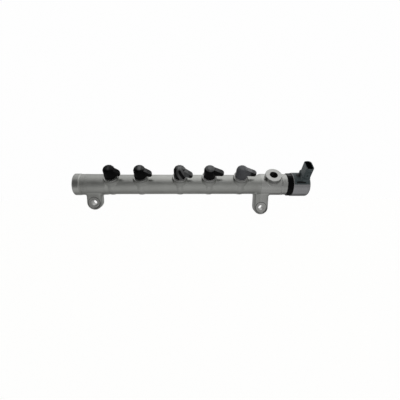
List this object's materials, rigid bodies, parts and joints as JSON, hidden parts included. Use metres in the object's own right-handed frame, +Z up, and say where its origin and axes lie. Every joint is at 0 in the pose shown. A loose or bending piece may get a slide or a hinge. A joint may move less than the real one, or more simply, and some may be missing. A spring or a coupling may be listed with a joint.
{
  "type": "fuel rail",
  "caption": "High-pressure fuel rail of a common-rail diesel: forged tube with capped ports, a return port, bolt lugs and a solenoid pressure valve at one end.",
  "frame": {"origin": "on the rail's axis, in the plane of its sensor end", "axes": "+X along the rail from the sensor port to the valve, +Z up, away from the bolt lugs, +Y towards the engine, which the lugs' seats face; the ports lean towards -Y"},
  "size_m": [0.3123, 0.0428, 0.0738],
  "materials": {
    "forged_steel": "satin",
    "cap_plastic": "satin",
    "black_steel": "satin",
    "can_steel": "satin",
    "connector_plastic": "semi-gloss",
    "terminal_brass": "polished",
    "valve_steel": "machined",
    "seal_rubber": "matte",
    "ring_plastic": "matte",
    "bobbin_plastic": "matte",
    "copper_wire": "enamelled"
  },
  "bodies": {
    "root": {"rail_body": "forged_steel", "port_cap_1": "cap_plastic", "port_cap_2": "cap_plastic", "port_cap_3": "cap_plastic", "port_cap_4": "cap_plastic", "port_cap_5": "cap_plastic", "clamp_nut": "black_steel", "coil_housing": "can_steel", "connector_housing": "connector_plastic", "terminal_pin_1": "terminal_brass", "terminal_pin_2": "terminal_brass", "valve_body": "valve_steel", "seal_washer": "copper_wire", "cartridge_o_ring": "seal_rubber", "backup_ring": "ring_plastic", "stem_seal": "seal_rubber", "yoke_washer": "valve_steel", "coil_bobbin": "bobbin_plastic", "coil_winding": "copper_wire", "pole_core": "valve_steel"}
  },
  "joints": []
}
